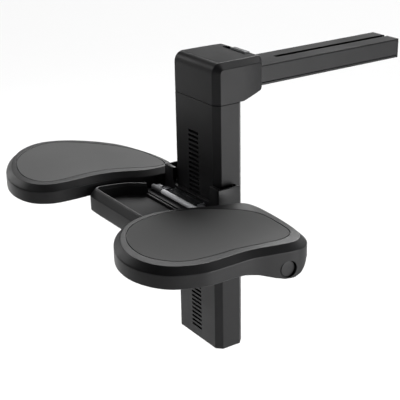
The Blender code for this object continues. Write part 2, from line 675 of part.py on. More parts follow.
def make_tray():
    outline = tray_outline()
    tray = plate("tray", outline, TRAY_BOTTOM, TRAY_TOP)
    bevel(tray, 4.0, 2, lambda p: at(p.z, TRAY_BOTTOM))
    bevel(tray, 1.5, 1, lambda p: at(p.z, TRAY_TOP))
    cut(tray, plate("well", inset(outline, TRAY_RIM), TRAY_FLOOR, TRAY_TOP + 10))
    cut(tray, plate("rim_slope", inset(outline, TRAY_RIM - 3.5), TRAY_TOP - 3, TRAY_TOP + 10))
    cut(tray, plate("under", inset(outline, 6), TRAY_BOTTOM - 10, TRAY_FLOOR - 3))
    cut(tray, box("trim", (-100, 100), (TRAY_REAR, 0), (150, 300)))
    join(tray, box("rear_wall", (-57, 52), (TRAY_REAR - 2.4, TRAY_REAR), (TRAY_BOTTOM + 3, 210)))
    for x in TRAY_SCREW_X:
        cut(tray, cylinder("hole", "Y", (x, -66, TRAY_SCREW_Z), 1.8, 20, 16))
    finish(show(tray), "carriage", "body_plastic")

    liner = plate("tray_liner", inset(outline, TRAY_RIM + 3), TRAY_FLOOR + 0.3, TRAY_FLOOR + 1.5)
    cut(liner, box("trim", (-100, 100), (TRAY_REAR - 3.4, 0), (150, 300)))
    finish(show(liner), "carriage", "mat_rubber", smooth=False)


def make_release():
    bar = cylinder("release_bar", "X", (0, PIVOT_Y, BAR_Z), BAR_RADIUS, 2 * BAR_HALF_LENGTH, 32)
    bevel(bar, 0.6, 1, lambda p: at(abs(p.x), BAR_HALF_LENGTH))
    finish(show(bar), "release", "polished_steel")

    grip = box("release_grip", (-30, 30), (-47.0, -30.4), (212.0, 216.6))
    grooves = [box("groove", (-31, 31), (y - 0.7, y + 0.7), (215.2, 220))
               for y in (-44.5, -41.5, -38.5, -35.5)]
    cut(grip, group("grooves", grooves))
    finish(show(grip), "release", "body_plastic", smooth=False)
    pawl = box("pawl", (SLOT_X - 10, SLOT_X + 10), (-30.0, -22.4), (212.4, 214.8))
    finish(show(pawl), "release", "plain_steel", smooth=False)

    for side, name in zip((-1, 1), SIDES):
        outer = box("bar_clips_" + name, sorted((side * 48, side * 58)), (-47.0, -41), (212.0, 217.4))
        inner = box("inner", sorted((side * 36.5, side * 46)), (-45, -36), (212.0, 216.6))
        bridge = box("bridge", sorted((side * 30.4, side * 50)), (-45, -42), (212.0, 214.6))
        join(outer, inner, bridge)
        finish(show(outer), "release", "light_plastic", smooth=False)
        spring = coil("release_spring_" + name, (side * 33.3, -35.2, 214.6), "Y", 1.9, 0.7, 12, 5)
        finish(show(spring), "carriage", "plain_steel")


# ---------------------------------------------------------------- side rests

def underside_band(low_shift, high_shift):
    """A closed band that follows the underside of a rest: (y, z)."""
    low = [(y, z + low_shift) for y, z in REST_UNDERSIDE]
    high = [(y, z + high_shift) for y, z in reversed(REST_UNDERSIDE)]
    return low + high


def make_rest(side, wall_points, mat_points, ribs, posts, bore, hub_x=None):
    body_name = "rest_" + side
    wall = smooth_loop(wall_points, 4)
    inside = smooth_loop(wall_points, 2)
    mat_line = smooth_loop(mat_points, 3)
    wide = (min(x for x, _ in wall) - 5, max(x for x, _ in wall) + 5)

    shell = plate(body_name + "_shell", wall, 185, REST_TOP)
    bevel(shell, REST_BEVEL, 1, lambda p: at(p.z, REST_TOP))
    keep = [(y, z) for y, z in REST_UNDERSIDE] + [(20, 240), (-240, 240)]
    combine(shell, plate("side_view", keep, *wide, "X"), "INTERSECT")
    cut(shell, plate("recess", inset(mat_line, -0.6), REST_TOP - MAT_DEPTH, REST_TOP + 5))
    cut(shell, cylinder("bore", "X", (sum(bore) / 2, PIVOT_Y, PIVOT_Z), BUSH_RADIUS + GAP,
                        bore[1] - bore[0], 32))

    lower_room = plate("lower_room", inset(inside, REST_WALL), 180, 222)
    upper_room = plate("upper_room", inset(inside, REST_BEVEL + 3), 221, REST_TOP - MAT_DEPTH - 2.5)
    join(lower_room, upper_room)
    solid_ribs = [box("rib", (x - 2.5, x + 2.5), (-80, -12), (180, 240)) for x in ribs]
    solid_posts = [cylinder("post", "Z", (x, y, 210), 4.5, 60, 20) for x, y in posts]
    cut(lower_room, group("solid_ribs", solid_ribs), group("solid_posts", solid_posts))
    if hub_x:
        cut(lower_room, cylinder("boss", "X", (hub_x, PIVOT_Y, PIVOT_Z), HUB_RADIUS, 22, 40))
    cut(shell, lower_room)
    floor_room = plate("floor_room", inset(inside, REST_WALL - GAP), 170, 240)
    combine(floor_room, plate("band", underside_band(-20, 2.9), *wide, "X"), "INTERSECT")
    cut(shell, floor_room)
    if hub_x:
        cut(shell, cylinder("hub_recess", "X", (hub_x + 12, PIVOT_Y, PIVOT_Z), HUB_CAP_RADIUS + 0.8, 24, 40))

    base = plate(body_name + "_base", inset(inside, REST_WALL), 170, 240)
    combine(base, plate("band", underside_band(0, 2.5), *wide, "X"), "INTERSECT")
    for number, (x, y) in enumerate(posts, 1):
        cut(shell, cylinder("hole", "Z", (x, y, 216), 1.7, 12, 16))
        cut(base, cylinder("hole", "Z", (x, y, 210), 1.8, 20, 16))
        cut(base, cylinder("head_hole", "Z", (x, y, 208), 3.4, 5.2, 24))
        screw(body_name + "_screw_" + str(number), body_name, "Z", (x, y, 219), (x, y, 210.2), 1.4, 3.0, 1.0)

    bushes = [cylinder(body_name + "_bush_" + name, "X", (x, PIVOT_Y, PIVOT_Z), BUSH_RADIUS, BUSH_LENGTH)
              for x, name in zip(ribs, ("inner", "outer"))]
    for bush, x in zip(bushes, ribs):
        cut(bush, cylinder("bore", "X", (x, PIVOT_Y, PIVOT_Z), BORE_RADIUS, 20))
        finish(show(bush), body_name, "bush_plastic")
    mat = plate(body_name + "_mat", mat_line, REST_TOP - MAT_DEPTH + 0.3, REST_TOP)
    finish(show(mat), body_name, "mat_rubber", smooth=False)
    finish(show(shell), body_name, "body_plastic")
    finish(show(base), body_name, "body_plastic")


def make_hub_cap():
    """The round cover over the pivot shaft's outer end."""
    cap = cylinder("rest_right_hub_cap", "X", (HUB_X + 3, PIVOT_Y, PIVOT_Z), HUB_CAP_RADIUS, 4.5, 40)
    finish(show(cap), "rest_right", "body_plastic")


def main():
    clear_scene()
    make_materials()
    body("arm", None, (0, 0, 0))
    body("column", "arm", (0, 0, 370))
    body("button", "column", (9, 46, 400))
    body("latch", "column", (0, 46, 380))
    body("carriage", "column", (0, 0, 205))
    body("release", "carriage", (0, PIVOT_Y, BAR_Z))
    body("rest_right", "carriage", (0, PIVOT_Y, PIVOT_Z))
    body("rest_left", "carriage", (0, PIVOT_Y, PIVOT_Z))
    make_arm()
    make_column()
    make_head()
    make_lock()
    make_carriage()
    make_hinge_beam()
    make_tray()
    make_release()
    make_rest("right", REST_RIGHT_WALL, MAT_RIGHT, (84, 200),
              ((78, -132), (198, -132), (145, -190)), (50, 230), hub_x=HUB_X)
    make_rest("left", REST_LEFT_WALL, MAT_LEFT, (-84, -150),
              ((-122, -126), (-246, -126), (-172, -192)), (-163.3, -50))
    make_hub_cap()


main()
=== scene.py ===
import json
import math

import bmesh
import bpy
import numpy as np
from mathutils import Matrix, Vector

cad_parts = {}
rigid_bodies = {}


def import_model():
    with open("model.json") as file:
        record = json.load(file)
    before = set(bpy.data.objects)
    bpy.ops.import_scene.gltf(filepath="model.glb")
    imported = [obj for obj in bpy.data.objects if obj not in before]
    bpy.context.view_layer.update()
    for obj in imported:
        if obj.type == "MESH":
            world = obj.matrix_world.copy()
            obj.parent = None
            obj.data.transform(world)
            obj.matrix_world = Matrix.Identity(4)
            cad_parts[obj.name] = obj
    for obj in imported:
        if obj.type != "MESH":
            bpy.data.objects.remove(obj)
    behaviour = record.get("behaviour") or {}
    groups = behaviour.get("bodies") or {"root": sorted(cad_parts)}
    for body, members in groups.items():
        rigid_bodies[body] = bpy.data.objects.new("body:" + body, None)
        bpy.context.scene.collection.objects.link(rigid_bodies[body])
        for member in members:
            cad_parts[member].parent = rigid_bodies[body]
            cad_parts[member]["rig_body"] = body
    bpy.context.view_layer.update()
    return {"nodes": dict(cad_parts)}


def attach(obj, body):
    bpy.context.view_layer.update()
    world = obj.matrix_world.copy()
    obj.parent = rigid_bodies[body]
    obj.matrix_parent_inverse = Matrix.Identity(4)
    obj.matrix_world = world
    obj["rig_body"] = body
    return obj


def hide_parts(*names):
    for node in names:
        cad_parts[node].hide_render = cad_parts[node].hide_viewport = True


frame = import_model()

# Lengths are in millimetres in the stand's own frame (zero at the column's foot) until piece() places them.
MOUNT_Y, ARM_BOTTOM = 185.0, 355.3
TO_WORLD = Matrix.Scale(0.001, 4) @ Matrix.Translation((0, -MOUNT_Y, -ARM_BOTTOM))


# ---------------------------------------------------------------- materials

def principled(name, color, roughness, metallic=0.0, specular=0.5):
    material = bpy.data.materials.new(name)
    material.use_nodes = True
    shader = material.node_tree.nodes["Principled BSDF"]
    shader.inputs["Base Color"].default_value = (*color, 1.0)
    shader.inputs["Roughness"].default_value = roughness
    shader.inputs["Metallic"].default_value = metallic
    shader.inputs["Specular IOR Level"].default_value = specular
    return material, material.node_tree, shader


def texture_noise(tree, scale, detail=2.0, stretch=(1, 1, 1)):
    """A noise in object space, in metres."""
    coordinates = tree.nodes.new("ShaderNodeTexCoord")
    mapping = tree.nodes.new("ShaderNodeMapping")
    mapping.inputs["Scale"].default_value = stretch
    noise = tree.nodes.new("ShaderNodeTexNoise")
    noise.inputs["Scale"].default_value = scale
    noise.inputs["Detail"].default_value = detail
    tree.links.new(coordinates.outputs["Object"], mapping.inputs["Vector"])
    tree.links.new(mapping.outputs["Vector"], noise.inputs["Vector"])
    return noise.outputs["Fac"]


def spread(tree, factor, low, high, start=0.3, end=0.7):
    """The factor mapped to a range of values."""
    node = tree.nodes.new("ShaderNodeMapRange")
    node.inputs["From Min"].default_value = start
    node.inputs["From Max"].default_value = end
    node.inputs["To Min"].default_value = low
    node.inputs["To Max"].default_value = high
    tree.links.new(factor, node.inputs["Value"])
    return node.outputs["Result"]


def tint(tree, shader, factor, dark, light, start=0.3, end=0.7):
    """Base colour between two tones."""
    ramp = tree.nodes.new("ShaderNodeValToRGB")
    ramp.color_ramp.elements[0].position = start
    ramp.color_ramp.elements[1].position = end
    ramp.color_ramp.elements[0].color = (*dark, 1.0)
    ramp.color_ramp.elements[1].color = (*light, 1.0)
    tree.links.new(factor, ramp.inputs["Fac"])
    tree.links.new(ramp.outputs["Color"], shader.inputs["Base Color"])


def bump(tree, shader, heights, distance):
    """Stacks bumps of (factor, strength)."""
    normal = None
    for factor, strength in heights:
        node = tree.nodes.new("ShaderNodeBump")
        node.inputs["Strength"].default_value = strength
        node.inputs["Distance"].default_value = distance
        tree.links.new(factor, node.inputs["Height"])
        if normal is not None:
            tree.links.new(normal, node.inputs["Normal"])
        normal = node.outputs["Normal"]
    tree.links.new(normal, shader.inputs["Normal"])


def moulded_plastic(name, tone, roughness, strength=0.22, specular=0.3):
    """Spark-eroded matte plastic: a fine grain, faint flow marks and handling smudges."""
    material, tree, shader = principled(name, tone, roughness, specular=specular)
    smudge = texture_noise(tree, 14.0, 4.0)
    flow = texture_noise(tree, 60.0, 3.0, (1.0, 1.0, 0.25))
    fine = texture_noise(tree, 2600.0, 2.0)
    coarse = texture_noise(tree, 2600.0 / 3.2, 3.0)
    tint(tree, shader, flow, tuple(c * 0.93 for c in tone), tuple(c * 1.07 for c in tone))
    tree.links.new(spread(tree, smudge, roughness - 0.05, roughness + 0.06), shader.inputs["Roughness"])
    bump(tree, shader, ((coarse, strength * 0.7), (fine, strength)), 0.00012)
    return material


def brushed_metal(name, tone, roughness, along, metallic=1.0):
    """Metal with fine lines along one direction."""
    material, tree, shader = principled(name, tone, roughness, metallic)
    lines = texture_noise(tree, 900.0, 2.0, along)
    cloud = texture_noise(tree, 45.0, 3.0)
    tint(tree, shader, cloud, tuple(c * 0.9 for c in tone), tuple(min(c * 1.08, 1.0) for c in tone))
    tree.links.new(spread(tree, lines, roughness - 0.05, roughness + 0.08), shader.inputs["Roughness"])
    bump(tree, shader, ((lines, 0.1),), 0.00005)
    return material


def rubber(name, tone):
    """Soft-touch sheet with a fine pebbled surface."""
    material, tree, shader = principled(name, tone, 0.72, specular=0.22)
    cells = tree.nodes.new("ShaderNodeTexVoronoi")
    cells.inputs["Scale"].default_value = 1500.0
    coordinates = tree.nodes.new("ShaderNodeTexCoord")
    tree.links.new(coordinates.outputs["Object"], cells.inputs["Vector"])
    fine = texture_noise(tree, 3500.0, 2.0)
    cloud = texture_noise(tree, 9.0, 5.0)
    tint(tree, shader, cloud, tuple(c * 0.96 for c in tone), tuple(c * 1.04 for c in tone))
    tree.links.new(spread(tree, cloud, 0.66, 0.78), shader.inputs["Roughness"])
    bump(tree, shader, ((cells.outputs["Distance"], 0.16), (fine, 0.12)), 0.00010)
    return material


BODY = moulded_plastic("body_plastic", (0.0100, 0.0098, 0.0106), 0.44, specular=0.28)
# The arm's plastic is a lighter copy of the body plastic: painted light that brightens the arm's sides.
ARM_LIT_PLASTIC = moulded_plastic("arm_plastic", (0.0130, 0.0130, 0.0136), 0.44, strength=0.18, specular=0.30)
# A duller, darker-reading copy of the plastic for flat tops: painted shade.
TOP_SHADE_PLASTIC = moulded_plastic("top_painted_shade", (0.0220, 0.0220, 0.0226), 0.70, strength=0.16, specular=0.07)
MAT = rubber("mat_rubber", (0.062, 0.062, 0.062))
LINER = rubber("liner_rubber", (0.009, 0.009, 0.0095))
SHADE = moulded_plastic("slot_shade", (0.003, 0.003, 0.003), 0.7, specular=0.1)
# A grey far darker than the bar, for the bar's left end: painted shade on that end of the bar.
BAR_END_SHADE = moulded_plastic("bar_end_painted_shade", (0.085, 0.086, 0.09), 0.40, strength=0.1)
GRIP = moulded_plastic("grip_plastic", (0.006, 0.007, 0.008), 0.38, specular=0.4)
BUTTON = moulded_plastic("satin_button", (0.24, 0.243, 0.25), 0.50, strength=0.08, specular=0.20)
CLIP = moulded_plastic("clip_plastic", (0.13, 0.13, 0.14), 0.36, strength=0.1)
BUSH = moulded_plastic("bush_plastic", (0.30, 0.29, 0.26), 0.42, strength=0.1)
# A pale diffuse tone for the steel release bar: painted sheen, standing in for the bright reflection on the
# bar.
BAR_PAINTED_SHEEN = moulded_plastic("bar_painted_sheen", (0.78, 0.79, 0.81), 0.42, strength=0.05, specular=0.5)
STEEL = brushed_metal("plain_steel", (0.42, 0.43, 0.45), 0.34, (0.05, 1, 1))
BLACK_STEEL = brushed_metal("black_steel", (0.05, 0.05, 0.055), 0.42, (0.1, 1, 1), 0.7)

CAD_LOOKS = {
    "foot_plate": BODY, "rest_right_base": BODY, "rest_left_base": BODY,
    "rack_strip": BLACK_STEEL, "neck_collar": BLACK_STEEL, "lock_slider": BLACK_STEEL,
    "shaft_clip": BLACK_STEEL,
    "arm_tenon": STEEL, "latch_bolt": STEEL, "latch_spring": STEEL, "spring_plate": STEEL, "pawl": STEEL,
    "pivot_shaft": STEEL, "release_spring_left": STEEL, "release_spring_right": STEEL,
    "socket_liner_lower": BUSH, "socket_liner_upper": BUSH, "glide_liner": BUSH,
    "rest_right_bush_inner": BUSH, "rest_right_bush_outer": BUSH,
    "rest_left_bush_inner": BUSH, "rest_left_bush_outer": BUSH,
}


# ---------------------------------------------------------------- outlines and profiles

def smooth_outline(points, count=260, blur=5.0):
    """A closed curve through control points, evenly spaced and softened over a few millimetres."""
    control = np.array(points, float)
    before, after = np.roll(control, 1, axis=0), np.roll(control, -1, axis=0)
    beyond = np.roll(control, -2, axis=0)
    dense = []
    for t in np.linspace(0, 1, 20, endpoint=False):
        square = (2 * before - 5 * control + 4 * after - beyond) * t ** 2
        cube = (3 * control - before - 3 * after + beyond) * t ** 3
        dense.append(0.5 * (2 * control + (after - before) * t + square + cube))
    dense = np.array(dense).transpose(1, 0, 2).reshape(-1, 2)
    ring = even(dense, count)
    length = np.linalg.norm(np.roll(ring, -1, axis=0) - ring, axis=1).sum()
    waves = np.fft.fftfreq(count, d=length / count)
    soft = np.exp(-2 * (math.pi * waves * blur) ** 2)
    return np.stack([np.fft.ifft(np.fft.fft(ring[:, k]) * soft).real for k in (0, 1)], axis=1)


def even(ring, count):
    """A closed line resampled at equal steps."""
    loop = np.vstack([ring, ring[:1]])
    along = np.concatenate([[0], np.cumsum(np.linalg.norm(np.diff(loop, axis=0), axis=1))])
    steps = np.linspace(0, along[-1], count, endpoint=False)
    return np.stack([np.interp(steps, along, loop[:, k]) for k in (0, 1)], axis=1)


def inset(ring, distance):
    """The closed line moved inwards along its normals."""
    tangent = np.roll(ring, -1, axis=0) - np.roll(ring, 1, axis=0)
    tangent /= np.maximum(np.linalg.norm(tangent, axis=1, keepdims=True), 1e-9)
    x, y = ring[:, 0], ring[:, 1]
    area = (x * np.roll(y, -1) - np.roll(x, -1) * y).sum()
    inward = np.stack([-tangent[:, 1], tangent[:, 0]], axis=1) * np.sign(area)
    return ring + inward * distance


def shrink(ring, distance):
    """A long inset in short steps, with its points kept in order where a corner is tighter than the inset."""
    steps = max(1, math.ceil(abs(distance) / 0.5))
    for _ in range(steps):
        ring = inset(ring, distance / steps)
        ring = 0.5 * ring + 0.25 * (np.roll(ring, 1, axis=0) + np.roll(ring, -1, axis=0))
    return ring


def corner_arc(before, corner, after, radius, steps, hold):
    """A fillet with a short straight lead on each side, so that flats stay flat when shaded smooth."""
    before, corner, after = (np.array(p, float) for p in (before, corner, after))
    a = (before - corner) / np.linalg.norm(before - corner)
    b = (after - corner) / np.linalg.norm(after - corner)
    half = math.acos(max(-1.0, min(1.0, float(a @ b)))) / 2
    reach = radius / math.tan(half)
    centre = corner + (a + b) / np.linalg.norm(a + b) * radius / math.sin(half)
    start, end = corner + a * reach - centre, corner + b * reach - centre
    sweep = math.pi - 2 * half
    turn = np.sign(start[0] * end[1] - start[1] * end[0])
    arc = []
    for step in range(steps + 1):
        angle = turn * sweep * step / steps
        c, s = math.cos(angle), math.sin(angle)
        arc.append(centre + np.array([start[0] * c - start[1] * s, start[0] * s + start[1] * c]))
    return [arc[0] + a * hold] + arc + [arc[-1] + b * hold]


def rounded(path, radii, steps=4, hold=0.3):
    """An open line with its inner corners filleted."""
    out = [np.array(path[0], float)]
    for index, radius in enumerate(radii, 1):
        out += corner_arc(path[index - 1], path[index], path[index + 1], radius, steps, hold)
    return out + [np.array(path[-1], float)]


def rounded_loop(points, radii, steps=4, hold=0.3):
    """A closed line with its corners filleted."""
    out = []
    for index, radius in enumerate(radii):
        after = points[(index + 1) % len(points)]
        out += corner_arc(points[index - 1], points[index], after, radius, steps, hold)
    return np.array(out)


# ---------------------------------------------------------------- meshes

def skin(shape, rings, close=False):
    """Quads between rings of equal counts; close joins the last ring to the first."""
    loops = [[shape.verts.new(point) for point in ring] for ring in rings]
    pairs = list(zip(loops, loops[1:])) + ([(loops[-1], loops[0])] if close else [])
    for low, high in pairs:
        for index in range(len(low)):
            shape.faces.new((low[index - 1], low[index], high[index], high[index - 1]))
    return loops


def fill(shape, *loops):
    """A flat fill of one loop, or between an outer loop and the loops inside it."""
    edges = []
    for loop in loops:
        edges += [shape.edges.get((loop[index - 1], loop[index])) or
                  shape.edges.new((loop[index - 1], loop[index])) for index in range(len(loop))]
    bmesh.ops.triangle_fill(shape, use_beauty=True, use_dissolve=False, edges=edges)


def capped_skin(shape, rings):
    """A skin whose first and last rings are filled."""
    loops = skin(shape, rings)
    fill(shape, loops[0])
    fill(shape, loops[-1])


def to_object(name, shape):
    bmesh.ops.recalc_face_normals(shape, faces=shape.faces)
    mesh = bpy.data.meshes.new(name)
    shape.to_mesh(mesh)
    shape.free()
    thing = bpy.data.objects.new(name, mesh)
    bpy.context.scene.collection.objects.link(thing)
    return thing


def bake(thing):
    """Applies the modifiers."""
    graph = bpy.context.evaluated_depsgraph_get()
    mesh = bpy.data.meshes.new_from_object(thing.evaluated_get(graph))
    thing.modifiers.clear()
    thing.data = mesh


def weld(mesh, distance):
    """Merges the near-coincident points that a Boolean can leave."""
    shape = bmesh.new()
    shape.from_mesh(mesh)
    bmesh.ops.remove_doubles(shape, verts=shape.verts, dist=distance)
    shape.to_mesh(mesh)
    shape.free()


def carve(thing, *cutters, operation="DIFFERENCE"):
    for cutter in cutters:
        step = thing.modifiers.new("carve", "BOOLEAN")
        step.operation = operation
        step.solver = "EXACT"
        step.object = cutter
        bake(thing)
        weld(thing.data, 0.002)
        bpy.data.objects.remove(cutter)


def block(name, x, y, z):
    shape = bmesh.new()
    centre = Matrix.Translation([sum(side) / 2 for side in (x, y, z)])
    size = Matrix.Diagonal((x[1] - x[0], y[1] - y[0], z[1] - z[0], 1))
    bmesh.ops.create_cube(shape, size=1.0, matrix=centre @ size)
    return to_object(name, shape)


def turned(name, axis_x, centre_y, centre_z, profile, sides=64):
    """A closed round piece about a line along X, from its (x, radius) profile."""
    shape = bmesh.new()
    rings = []
    for x, radius in profile:
        angles = [2 * math.pi * k / sides for k in range(sides)]
        rings.append([(axis_x + x, centre_y + radius * math.cos(t), centre_z + radius * math.sin(t))
                      for t in angles])
    loops = skin(shape, rings)
    shape.faces.new(loops[0])
    shape.faces.new(loops[-1])
    return to_object(name, shape)


def piece(thing, body, slot, look, *nodes, angle=38.0):
    """Places a finished mesh on its body, in place of its CAD nodes."""
    thing.data.transform(TO_WORLD)
    return dress(thing, body, slot, look, *nodes, angle=angle)


def dress(thing, body, slot, look, *nodes, angle=38.0):
    thing.data.materials.clear()
    thing.data.materials.append(look)
    thing.data.shade_smooth()
    thing.data.set_sharp_from_angle(angle=math.radians(angle))
    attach(thing, body)
    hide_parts(*nodes)
    return thing


def paint_shade(thing, look, chosen):
    """Gives the chosen faces of a placed piece another material; here it paints shade onto flat tops and into
    the arm's slot.
    """
    thing.data.materials.append(look)
    index = len(thing.data.materials) - 1
    for face in thing.data.polygons:
        if chosen(face.center, face.normal):
            face.material_index = index


def soften(node, body, slot, look, width, segments=3):
    """A CAD node's shape with its sharp edges rounded, by a width in millimetres."""
    shape = bmesh.new()
    shape.from_mesh(frame["nodes"][node].data)
    bmesh.ops.remove_doubles(shape, verts=shape.verts, dist=1e-6)
    bmesh.ops.dissolve_limit(shape, angle_limit=math.radians(1), verts=shape.verts, edges=shape.edges)
    thing = to_object(node + "_fine", shape)
    rounding = thing.modifiers.new("rounding", "BEVEL")
    rounding.width = width / 1000
    rounding.segments = segments
    rounding.limit_method = "ANGLE"
    rounding.angle_limit = math.radians(32)
    bake(thing)
    return dress(thing, body, slot, look, node, angle=50.0)


# ---------------------------------------------------------------- side rests

PIVOT_Y, PIVOT_Z, BAR_Z = -51.0, 205.0, 215.8
REST_TOP = 234.0
REST_RIGHT_WALL = [
    (88, -15), (104, -3), (140, -1), (196, -6), (225, -16), (236, -36), (231, -64), (224, -95),
    (224, -130), (222, -160), (203, -197), (166, -216), (124, -214), (84, -193), (60, -165),
    (51, -132), (56, -98), (66, -72), (75, -54), (82, -35),
]
REST_LEFT_WALL = [
    (-72, -3), (-109, 0), (-150, -6), (-200, -21), (-244, -52), (-272, -88), (-279, -124),
    (-262, -160), (-230, -187), (-190, -207), (-152, -214), (-118, -207), (-98, -184), (-94, -150),
    (-94, -116), (-86, -85), (-72, -59), (-67, -34),
]
MAT_RIGHT = [
    (143, -19), (179, -20), (203, -25), (213, -42), (210, -70), (204, -105), (203, -140),
    (195, -172), (168, -194), (138, -198), (106, -189), (78, -166), (67, -133), (70, -100),
    (83, -70), (103, -44), (122, -27),
]
MAT_LEFT = [
    (-91, -14), (-81, -22), (-86, -44), (-103, -74), (-113, -100), (-115, -132), (-114, -164),
    (-121, -184), (-146, -195), (-178, -193), (-217, -178), (-246, -152), (-261, -118),
    (-255, -90), (-231, -64), (-199, -39), (-160, -19), (-122, -13),
]
UNDERSIDE = [
    (-240, 209), (-118, 209), (-103, 207.5), (-86, 203.5), (-66, 196), (-54, 192.6), (-43, 192.2),
    (-32, 196), (-25, 202), (-20, 209), (20, 209),
]


def underside(y):
    return np.interp(y, [p[0] for p in UNDERSIDE], [p[1] for p in UNDERSIDE])


def at_height(ring, heights):
    return [(x, y, z) for (x, y), z in zip(ring, np.broadcast_to(heights, len(ring)))]


def make_rest(side, wall_points, mat_points):
    body = "rest_" + side
    wall = smooth_outline(wall_points, blur=4.0)
    groove = inset(smooth_outline(mat_points, count=220, blur=3.0), -0.95)
    shape = bmesh.new()
    rings = [at_height(shrink(wall, 2.6), 226.0)]
    for depth, lift in rounded([(2.6, 12), (2.6, 0), (0, 0), (0, 12)], (0.4, 1.4), 4, 0.2):
        ring = shrink(wall, depth)
        rings.append(at_height(ring, underside(ring[:, 1]) + lift))
    for depth, height in rounded([(0, 222), (0, 226.4), (8, REST_TOP), (10, REST_TOP)], (2.4, 1.0)):
        rings.append(at_height(shrink(wall, depth), height))
    loops = skin(shape, rings)
    fill(shape, loops[0])
    lip = rounded([(-0.9, REST_TOP), (0, REST_TOP), (0, REST_TOP - 1.9)], (0.3,), 3, 0.1)
    edge = skin(shape, [at_height(inset(groove, depth), height) for depth, height in lip])
    fill(shape, loops[-1], edge[0])
    fill(shape, edge[-1])
    shell = to_object(body + "_shell_fine", shape)
    if side == "right":
        carve(shell, turned("hub_recess", 228, PIVOT_Y + 0.6, PIVOT_Z - 0.35, [(0, 10.4), (24, 10.4)]))
        carve(shell, turned("bore", 50, PIVOT_Y, PIVOT_Z, [(0, 7.4), (60, 7.4)], 48))
    else:
        carve(shell, turned("bore", -110, PIVOT_Y, PIVOT_Z, [(0, 7.4), (60, 7.4)], 48))
    piece(shell, body, "body_plastic", BODY, body + "_shell", angle=34)

    pad = smooth_outline(mat_points, count=220, blur=3.0)
    shape = bmesh.new()
    profile = [(1.5, REST_TOP - 1.7), (0, REST_TOP - 1.7), (0, REST_TOP), (2, REST_TOP)]
    profile = rounded(profile, (0.25, 0.35), 3, 0.1)
    capped_skin(shape, [at_height(inset(pad, depth), height) for depth, height in profile])
    piece(to_object(body + "_mat_fine", shape), body, "mat_rubber", MAT, body + "_mat")


def make_hub_cap():
    """The slightly domed cover over the shaft's outer end."""
    profile = [(-2.2, 9.3), (-1.9, 9.55)]
    profile += [tuple(p) for p in rounded([(-1.5, 9.6), (2.0, 9.6), (2.25, 7.6)], (0.5,), 4, 0.1)]
    profile += [(2.3, 6.0), (2.34, 4.0), (2.35, 2.0), (2.35, 0.6)]
    cap = turned("hub_cap_fine", 230.9, PIVOT_Y, PIVOT_Z, profile)
    piece(cap, "rest_right", "body_plastic", BODY, "rest_right_hub_cap", angle=50)


# ---------------------------------------------------------------- column and head

HALF_X, HALF_Y, CHAMFER = 50.5, 22.0, 8.0
TENON_ROOM = (361.6, 378.4)
COLUMN_TOP, HEAD_TOP, HEAD_REAR = 348.0, 401.5, 58.5
SLOT_COUNT, LOWEST_SLOT, SLOT_PITCH = 46, 16.75, 6.35
NECK_SCREW_X, NECK_SCREW_Z = 26, 334


def make_column():
    x, y, c = HALF_X, HALF_Y, CHAMFER
    corners = [(-x, -y + c), (-x + c, -y), (x - c, -y), (x, -y + c),
               (x, y - c), (x - c, y), (-x + c, y), (-x, y - c)]
    section = rounded_loop(corners, [1.3] * 8, 4, 0.4)
    shape = bmesh.new()
    outside = rounded([(3, 0), (0, 0), (0, COLUMN_TOP), (3, COLUMN_TOP)], (2.4, 0.7), 4, 0.4)
    skin(shape, [at_height(inset(section, depth), z) for depth, z in outside], close=True)
    shell = to_object("column_shell_fine", shape)
    slots = bmesh.new()
    for index in range(SLOT_COUNT):
        z = LOWEST_SLOT + SLOT_PITCH * index
        corners = [(-13, z - 1.7), (10, z - 1.7), (10, z + 1.7), (-13, z + 1.7)]
        outline = rounded_loop(corners, [0.7] * 4, 3, 0.1)
        capped_skin(slots, [[(x, y, height) for x, height in outline] for y in (-24.0, -17.0)])
    carve(shell, to_object("slots", slots))
    for x in (-NECK_SCREW_X, NECK_SCREW_X):
        carve(shell, round_hole("neck_hole", "Y", (x, 22, NECK_SCREW_Z), 3.4, 2.0),
              round_hole("thread", "Y", (x, 20, NECK_SCREW_Z), 1.7, 9.0))
    piece(shell, "column", "body_plastic", BODY, "column_shell", angle=30)


def round_hole(name, axis, centre, radius, half_length):
    """A round cutter along Y or Z."""
    turn = Matrix.Rotation(math.pi / 2, 4, "X") if axis == "Y" else Matrix.Identity(4)
    shape = bmesh.new()
    bmesh.ops.create_cone(shape, cap_ends=True, segments=40, radius1=radius, radius2=radius,
                          depth=2 * half_length, matrix=Matrix.Translation(centre) @ turn)
    return to_object(name, shape)


def head_section(depth):
    """The head seen from the side, as (y, z), its edges set back by the chamfer's depth."""
    front, top, rear = depth - HALF_Y, HEAD_TOP - depth, HEAD_REAR - 0.8 * depth
    low = COLUMN_TOP + 0.5
    corners = [(22, low), (front, low), (front, top), (rear, top), (rear, 355.3 + 0.35 * depth)]
    return rounded_loop(corners, (1.0, 0.6, 13.2 - depth, 9.5 - 0.55 * depth, 7.5 - 0.4 * depth), 8, 0.4)


def head_width(y):
    """Half the head's width, which draws in towards the arm."""
    return np.interp(y, (17, 24, 32, 40, 48, 54, 58.5), (50.5, 50.4, 50.05, 49.4, 48.3, 47.1, 45.8))


